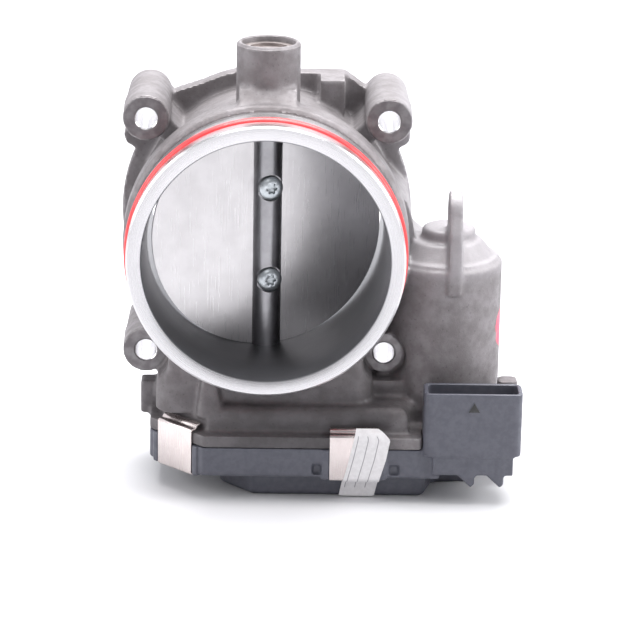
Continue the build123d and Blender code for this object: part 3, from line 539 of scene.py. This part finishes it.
# %% Give every CAD part its finish
finishes = {
    "housing": casting_finish, "spigot_o_ring": red_rubber, "bearing_plug": plug_finish,
    "upper_bearing": bearing_finish, "lower_bearing": bearing_finish, "shaft_seal": black_rubber,
    "throttle_shaft": shaft_finish, "throttle_plate": plate_finish, "plate_screws": screw_finish,
    "sector_gear": gear_plastic, "sector_magnet": magnet_finish, "spring_guide": gear_plastic,
    "return_spring": wire_finish, "intermediate_gear_pin": shaft_finish,
    "intermediate_gear": gear_plastic, "motor_can": zinc_finish, "motor_magnets": magnet_finish,
    "motor_armature": core_finish, "motor_windings": copper_finish,
    "motor_commutator": copper_finish, "motor_shaft": shaft_finish, "motor_pinion": brass_finish,
    "motor_bushes": brass_finish, "motor_brushes": magnet_finish, "motor_end_plate": zinc_finish,
    "motor_screws": screw_finish, "motor_wave_washer": wire_finish, "motor_contacts": brass_finish,
    "gear_cover": black_plastic, "cover_gasket": black_rubber, "cover_clips": clip_finish,
    "connector_pins": brass_finish, "sensor_board": board_finish, "sensor_chip": chip_finish,
    "cover_label": paper_finish,
}
for name, node in frame["nodes"].items():
    node.data.materials.clear()
    node.data.materials.append(finishes[name])
print("CAD parts with a finish:", len(frame["nodes"]))

# %% [markdown]
# ## Modelling helpers
# Every new piece starts from a primitive or from a copy of its CAD part, is shaped with edit-mode
# operators or applied modifiers, and ends with its place in its mesh and its object at the origin.

# %% Modelling helpers
def deselect():
    """Nothing stays selected, so the next operator acts only on what is chosen."""
    if bpy.context.object and bpy.context.object.mode != "OBJECT":
        bpy.ops.object.mode_set(mode="OBJECT")
    bpy.ops.object.select_all(action="DESELECT")


def choose(piece):
    """Makes one object selected and active."""
    deselect()
    piece.select_set(True)
    bpy.context.view_layer.objects.active = piece


def modify(piece, kind, **settings):
    """Adds a modifier with these settings and applies it."""
    choose(piece)
    bpy.ops.object.modifier_add(type=kind)
    modifier = piece.modifiers[-1]
    for key, value in settings.items():
        setattr(modifier, key, value)
    bpy.ops.object.modifier_apply(modifier=modifier.name)


def tidy_mesh(piece, merge=0.000002):
    """Merges doubles and turns every face outwards."""
    choose(piece)
    bpy.ops.object.mode_set(mode="EDIT")
    bpy.ops.mesh.select_all(action="SELECT")
    bpy.ops.mesh.remove_doubles(threshold=merge)
    bpy.ops.mesh.normals_make_consistent(inside=False)
    bpy.ops.object.mode_set(mode="OBJECT")


def settle(piece, finish, slot, body, *nodes, smooth=35):
    """Applies its transform, smooths its shading, gives it its finish and its body, and hides the CAD
    parts it stands for. The slot argument is not used.
    """
    choose(piece)
    bpy.ops.object.transform_apply(location=True, rotation=True, scale=True)
    bpy.ops.object.shade_smooth_by_angle(angle=radians(smooth))
    piece.data.materials.clear()
    piece.data.materials.append(finish)
    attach(piece, body)
    if nodes:
        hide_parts(*nodes)
    deselect()
    print(piece.name, "faces:", len(piece.data.polygons))


def turn_section(name, section, centre, axis, steps=192):
    """Spins a closed section, a list of (radius, along) in millimetres, about an axis."""
    deselect()
    bpy.ops.mesh.primitive_circle_add(vertices=len(section), radius=mm)
    ring = bpy.context.object
    ring.name = name
    side = Vector((1, 0, 0))
    for vertex, (reach, along) in zip(ring.data.vertices, section):
        vertex.co = Vector(centre) + side * reach * mm + Vector(axis) * along * mm
    bpy.ops.object.mode_set(mode="EDIT")
    bpy.ops.mesh.select_all(action="SELECT")
    bpy.ops.mesh.spin(steps=steps, angle=2 * pi, center=centre, axis=axis)
    bpy.ops.object.mode_set(mode="OBJECT")
    tidy_mesh(ring)
    return ring


def copy_node(name, new_name):
    """A copy of a CAD part, with its doubled vertices merged."""
    deselect()
    piece = frame["nodes"][name].copy()
    piece.data = piece.data.copy()
    piece.name = new_name
    piece.parent = None
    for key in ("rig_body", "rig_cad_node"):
        if key in piece:
            del piece[key]
    bpy.context.scene.collection.objects.link(piece)
    tidy_mesh(piece)
    return piece


def soften(piece, voxel, rounds, triangles):
    """Rounds every edge as a mould does: voxel remesh, smoothing, then fewer triangles."""
    modify(piece, "REMESH", mode="VOXEL", voxel_size=voxel)
    modify(piece, "SMOOTH", factor=0.5, iterations=rounds)
    share = triangles / (2 * len(piece.data.polygons))
    if share < 1:
        modify(piece, "DECIMATE", ratio=share)


def join_copies(piece, places):
    """Puts a copy of a piece at each (location, turn), and joins them all as that piece."""
    copies = [piece]
    for _ in places[1:]:
        twin = piece.copy()
        twin.data = piece.data.copy()
        bpy.context.scene.collection.objects.link(twin)
        copies.append(twin)
    deselect()
    for twin, (spot, turn) in zip(copies, places):
        twin.rotation_mode = "QUATERNION"
        twin.rotation_quaternion = turn
        twin.location = spot
        twin.select_set(True)
    bpy.context.view_layer.objects.active = piece
    bpy.ops.object.join()


# %% Sizes that several pieces share, in millimetres
lip = cad_low.y / mm
bore_axis = (0, 1, 0)
bore_r, spigot_r, groove_r = 39.0, 45.0, 42.25
groove_front, groove_back = lip + 6.2, lip + 10.4
shaft_y = -32.0
bolt = 39.6
boss_centres = [(-bolt, bolt), (bolt, bolt), (-bolt, -bolt), (bolt, -bolt)]
boss_face = -40.0

# %% [markdown]
# ## Turned spigot and bore
# The intake duct slides over the spigot, so this end is cut on a lathe: a flat lip, a land, the
# groove of the sealing ring, and a second land with a fine line. One closed section, spun about the
# bore's axis, gives all of it and the bore wall in one clean piece.

# %% Turned spigot and bore
spigot_section = [
    (40.7, lip), (spigot_r - 0.6, lip), (spigot_r, lip + 0.6), (spigot_r, groove_front - 0.3),
    (spigot_r - 0.3, groove_front), (groove_r, groove_front), (groove_r, groove_back),
    (spigot_r, groove_back), (spigot_r, lip + 16.6), (spigot_r - 0.25, lip + 16.7),
    (spigot_r - 0.25, lip + 17.1), (spigot_r, lip + 17.2), (spigot_r, lip + 19.6),
    (39.7, lip + 19.6), (39.7, -0.02), (39.8, -0.01), (bore_r, -0.8), (bore_r, lip + 18.0),
    (39.98, lip + 0.7), (40.2, lip + 0.2),
]
spigot = turn_section("spigot_and_bore", spigot_section, (0, 0, 0), bore_axis, 256)
settle(spigot, turned_finish, "cast_alloy", "housing", smooth=30)

# %% [markdown]
# ## Softened casting
# Where walls of a casting meet there is always a radius, and no edge is sharp. Copying the CAD
# housing, remeshing it in small cubes and smoothing it rounds every edge and corner at once. The
# cut surfaces are pulled under the turned pieces, which keep them crisp.

# %% Softened casting
casting = copy_node("housing", "cast_housing")
soften(casting, 0.0007, 3, 185000)


def push_radius(vertex, centre_x, centre_z, limit, radius):
    """Moves a vertex that is nearer an axis along Y than limit out or in to radius."""
    dx, dz = vertex.co.x - centre_x, vertex.co.z - centre_z
    reach = hypot(dx, dz)
    if 0 < reach < limit:
        vertex.co.x = centre_x + dx * radius / reach
        vertex.co.z = centre_z + dz * radius / reach


bore_reach, under_bore = 41.8 * mm, 40.1 * mm
spigot_reach, under_spigot, spigot_end = 45.7 * mm, 41.9 * mm, (lip + 18.6) * mm
hole_reach, under_liner = 4.25 * mm, 3.9 * mm
shaft_room = 7 * mm
for vertex in casting.data.vertices:
    reach = hypot(vertex.co.x, vertex.co.z)
    off_shaft = max(abs(vertex.co.x), abs(vertex.co.y - shaft_y * mm)) > shaft_room
    if reach < bore_reach and (off_shaft or reach < (bore_r + 0.2) * mm):
        push_radius(vertex, 0, 0, bore_reach, max(reach + 0.7 * mm, under_bore))
    if vertex.co.y < spigot_end and reach < spigot_reach:
        push_radius(vertex, 0, 0, spigot_reach, min(max(reach, 41 * mm), under_spigot))
        vertex.co.y = max(vertex.co.y, (lip + 1.2) * mm)
    for centre_x, centre_z in boss_centres:
        push_radius(vertex, centre_x * mm, centre_z * mm, hole_reach, under_liner)
    vertex.co.y = min(vertex.co.y, 0)
settle(casting, casting_finish, "cast_alloy", "housing", "housing", smooth=40)

# %% [markdown]
# ## Bolt-hole liners and bearing rim
# Each boss is spot-faced and drilled after casting, which leaves a ring of fresh metal and a clean
# hole. The liner is a section spun about the hole, and the slimmer boss by the motor has a smaller
# face. The upper bearing boss has a chamfered rim, spun about the shaft instead.

# %% Bolt-hole liners and bearing rim
for number, (centre_x, centre_z) in enumerate(boss_centres):
    by_motor = centre_x > 0 > centre_z
    face_r = 6.6 if by_motor else 7.0
    liner_section = [
        (3.95, boss_face - 0.1), (face_r, boss_face - 0.1), (face_r + 0.35, boss_face + 0.4),
        (4.3, boss_face + 0.6), (4.3, -0.3), (3.9, -0.01), (3.5, -0.4), (3.5, boss_face + 0.3),
    ]
    liner = turn_section(f"bolt_hole_liner_{number + 1}", liner_section,
                         (centre_x * mm, 0, centre_z * mm), bore_axis, 64)
    face_finish = make_faced_material(f"spot_faced_{number + 1}", centre_x * mm, centre_z * mm)
    settle(liner, face_finish, "cast_alloy", "housing", smooth=30)

rim_top = 64.0
rim_section = [
    (8.82, rim_top - 4.0), (8.82, rim_top - 0.4), (9.15, rim_top - 0.05), (9.75, rim_top - 0.05),
    (10.5, rim_top - 0.9), (10.5, rim_top - 1.3), (9.5, rim_top - 1.7), (9.5, rim_top - 4.0),
]
rim = turn_section("bearing_boss_rim", rim_section, (0, shaft_y * mm, 0), (0, 0, 1), 96)
settle(rim, casting_finish, "cast_alloy", "housing", smooth=30)

# %% [markdown]
# ## Sealing ring
# The red ring is a round silicone cord, slightly flattened against the bottom of its groove. Its
# section is a small circle drawn with the low side cut flat, and spun about the bore.

# %% Sealing ring
ring_mean, ring_wire, ring_points = 44.1, 1.85, 28
ring_y = (groove_front + groove_back) / 2
ring_section = []
for step in range(ring_points):
    angle = 2 * pi * step / ring_points
    reach = max(ring_mean + ring_wire * cos(angle), groove_r + 0.05)
    ring_section.append((reach, ring_y + ring_wire * sin(angle)))
ring = turn_section("sealing_ring", ring_section, (0, 0, 0), bore_axis, 256)
settle(ring, red_rubber, "red_seal", "housing", "spigot_o_ring", smooth=60)

# %% [markdown]
# ## Moulded cover
# A moulding has no razor edges either. The cover is softened in the same way as the casting, in
# smaller cubes, because its walls are thin and its corners tighter.

# %% Moulded cover
cover = copy_node("gear_cover", "moulded_cover")
soften(cover, 0.00045, 2, 180000)
settle(cover, black_plastic, "black_plastic", "housing", "gear_cover", smooth=40)

# %% [markdown]
# ## Connector mark
# A small raised triangle on the connector's front shows which way up the plug goes. It is a
# three-sided cylinder with its edges rounded and its middle pressed in.

# %% Connector mark
mark_spot = Vector((68.7, -65.9, -50.2)) * mm
deselect()
bpy.ops.mesh.primitive_cylinder_add(vertices=3, radius=2.2 * mm, depth=0.5 * mm,
                                    rotation=(pi / 2, 0, 0))
mark = bpy.context.object
mark.name = "connector_mark"
bpy.ops.object.transform_apply(location=False, rotation=True, scale=False)
for face in mark.data.polygons:
    face.select = face.normal.y < -0.9
bpy.ops.object.mode_set(mode="EDIT")
bpy.ops.mesh.select_mode(type="FACE")
bpy.ops.mesh.inset(thickness=0.5 * mm)
bpy.ops.transform.translate(value=(0, 0.2 * mm, 0))
bpy.ops.object.mode_set(mode="OBJECT")
modify(mark, "BEVEL", width=0.12 * mm, segments=2, limit_method="ANGLE", angle_limit=radians(30))
mark.location = mark_spot
settle(mark, chip_finish, "black_plastic", "housing", smooth=35)

# %% [markdown]
# ## Plate screws
# Two button-head screws with a star recess clamp the plate in the shaft. The head starts as a
# cylinder. Its outer face is inset, the ring of the recess is pulled into six lobes, and the floor
# is pushed in. A shank is joined to it, and a copy makes the second screw.

# %% Plate screws
rest_turn = radians(16.0)
screw_side = Vector((sin(rest_turn), -cos(rest_turn), 0))
head_r, head_height, seat = 4.0, 2.0, 3.2
star_r, star_lobe, star_depth = 1.58, 0.36, 1.5
deselect()
bpy.ops.mesh.primitive_cylinder_add(vertices=72, radius=head_r * mm, depth=head_height * mm)
screws = bpy.context.object
screws.name = "torx_screws"
bpy.ops.object.mode_set(mode="EDIT")
bpy.ops.mesh.select_mode(type="FACE")
bpy.ops.mesh.select_all(action="DESELECT")
bpy.ops.object.mode_set(mode="OBJECT")
for face in screws.data.polygons:
    face.select = face.normal.z > 0.9
bpy.ops.object.mode_set(mode="EDIT")
bpy.ops.mesh.inset(thickness=1.0 * mm)
bpy.ops.transform.translate(value=(0, 0, 0.55 * mm))
bpy.ops.mesh.inset(thickness=1.2 * mm)
bpy.ops.transform.translate(value=(0, 0, 0.12 * mm))
bpy.ops.object.mode_set(mode="OBJECT")
for vertex in screws.data.vertices:
    reach = hypot(vertex.co.x, vertex.co.y)
    if reach < (star_r + star_lobe) * mm:
        lobe = star_r + star_lobe * cos(6 * atan2(vertex.co.y, vertex.co.x))
        vertex.co.x *= lobe * mm / reach
        vertex.co.y *= lobe * mm / reach
bpy.ops.object.mode_set(mode="EDIT")
bpy.ops.mesh.extrude_region_move(TRANSFORM_OT_translate={"value": (0, 0, -star_depth * mm)})
bpy.ops.object.mode_set(mode="OBJECT")
modify(screws, "BEVEL", width=0.12 * mm, segments=2, limit_method="ANGLE", angle_limit=radians(25))
deselect()
bpy.ops.mesh.primitive_cylinder_add(vertices=32, radius=1.98 * mm, depth=7.9 * mm,
                                    location=(0, 0, -4.9 * mm))
shank = bpy.context.object
modify(shank, "BEVEL", width=0.3 * mm, segments=2, limit_method="ANGLE", angle_limit=radians(60))
screws.select_set(True)
bpy.context.view_layer.objects.active = screws
bpy.ops.object.join()
screw_turn = screw_side.to_track_quat("Z", "Y")
screw_spots = []
for height in (15.7, -15.7):
    screw_spots.append(Vector((0, shaft_y, height)) + screw_side * (seat + head_height / 2))
join_copies(screws, [(spot * mm, screw_turn) for spot in screw_spots])
settle(screws, screw_finish, "screw_steel", "throttle", "plate_screws", smooth=35)

# %% [markdown]
# ## Rolled clips
# The cover is held by strips of bright spring steel, bent over the housing's flange at the top,
# with a raised hook for the fitter's tool, and under the cover's edge at the bottom. One clip is
# folded from a flat face by extruding its edges, its bends are rounded, and it is given thickness.
# Copies go to each place round the case, turned to face outwards.

# %% Rolled clips
clip_width, clip_gauge = 16.0, 0.8
flange_top, cover_edge = -61.3, -75.5
# Each place is (x, y, direction that the clip faces in degrees).
clip_places = [
    (-29.0, -54.8, 225), (29.7, -63.8, 270), (81.5, -28.0, 0),
    (46.0, -1.8, 90), (2.0, -1.8, 90), (-30.0, -9.8, 135),
]
deselect()
bpy.ops.mesh.primitive_plane_add(size=1)
strip = bpy.context.object
strip.name = "cover_clips_rolled"
middle = clip_gauge / 2
corner_places = [(middle, cover_edge - middle), (middle, flange_top + middle + 0.3)]
for vertex in strip.data.vertices:
    out, high = corner_places[0 if vertex.co.y < 0 else 1]
    vertex.co = Vector((out, (1 if vertex.co.x > 0 else -1) * clip_width / 2, high)) * mm


def fold_edge(piece, at_height, steps):
    """Extrudes the straight edge at one height through a list of (out, up) steps."""
    bpy.ops.object.mode_set(mode="EDIT")
    bpy.ops.mesh.select_mode(type="EDGE")
    bpy.ops.mesh.select_all(action="DESELECT")
    bpy.ops.object.mode_set(mode="OBJECT")
    for edge in piece.data.edges:
        ends = [piece.data.vertices[i].co.z for i in edge.vertices]
        edge.select = all(abs(z - at_height * mm) < 0.01 * mm for z in ends)
    bpy.ops.object.mode_set(mode="EDIT")
    for out, high in steps:
        bpy.ops.mesh.extrude_region_move(TRANSFORM_OT_translate={"value": (out * mm, 0, high * mm)})
    bpy.ops.object.mode_set(mode="OBJECT")


top_and_hook = [(-1.7, 0.0), (-1.0, 1.25), (-1.5, 0.15)]
foot = [(-3.6, 0.0)]
fold_edge(strip, corner_places[1][1], top_and_hook)
fold_edge(strip, corner_places[0][1], foot)
modify(strip, "BEVEL", width=0.55 * mm, segments=4, limit_method="ANGLE",
       angle_limit=radians(15), affect="EDGES")
modify(strip, "SOLIDIFY", thickness=0.92 * clip_gauge * mm, offset=0)
modify(strip, "BEVEL", width=0.12 * mm, segments=2, limit_method="ANGLE",
       angle_limit=radians(50))
strip_places = []
for x, y, facing in clip_places:
    strip_places.append((Vector((x, y, 0)) * mm, Quaternion((0, 0, 1), radians(facing))))
join_copies(strip, strip_places)
tidy_mesh(strip)
settle(strip, clip_finish, "clip_steel", "housing", "cover_clips", smooth=35)

# %% [markdown]
# ## Paper seal
# A narrow paper seal is stuck over the front clip at a slant, so that the cover can't be opened
# unseen. Its top lies back on the flange, it runs flat down the clip, and then it is pressed in
# under the edge and down the raised middle of the cover. A grid is laid along that path, row by
# row, the top right corner is cut off, and the sheet gets the thickness of paper.

# %% Paper seal
# Each row across the paper is (y, z, left edge, right edge).
seal_path = [
    (-63.0, -58.2, 30.2, 37.6), (-64.3, -59.3, 30.0, 39.6), (-64.82, -61.6, 29.5, 41.7),
    (-64.86, -68.5, 28.0, 40.4), (-64.86, -75.4, 26.3, 38.4), (-64.2, -76.5, 26.1, 38.2),
    (-60.6, -77.2, 26.1, 38.2), (-58.95, -78.4, 25.9, 38.0), (-58.55, -83.6, 24.9, 36.8),
]
columns, rows = 14, 48
deselect()
bpy.ops.mesh.primitive_grid_add(x_subdivisions=columns, y_subdivisions=rows, size=1)
seal = bpy.context.object
seal.name = "paper_seal"
seal.data.uv_layers[0].name = "sheet"
runs = []
for first, second in zip(seal_path, seal_path[1:]):
    runs.append(hypot(second[0] - first[0], second[1] - first[1]))
for vertex in seal.data.vertices:
    across, along = vertex.co.x + 0.5, (0.5 - vertex.co.y) * sum(runs)
    part = 0
    while part < len(runs) - 1 and along > runs[part]:
        along -= runs[part]
        part += 1
    share = min(1.0, along / runs[part])
    y, z, left, right = (a + (b - a) * share for a, b in zip(seal_path[part], seal_path[part + 1]))
    ripple = 0.025 * sin(9 * across + 0.5 * z)
    vertex.co = Vector((left + (right - left) * across, y + ripple, z)) * mm
modify(seal, "SMOOTH", factor=0.5, iterations=2)
modify(seal, "SOLIDIFY", thickness=0.12 * mm, offset=0)
tidy_mesh(seal)
settle(seal, paper_finish, "paper", "housing", "cover_label", smooth=60)

# %% [markdown]
# ## Sizes and finish
# The looks must not change the object's size. Only the CAD box is printed, after the import.
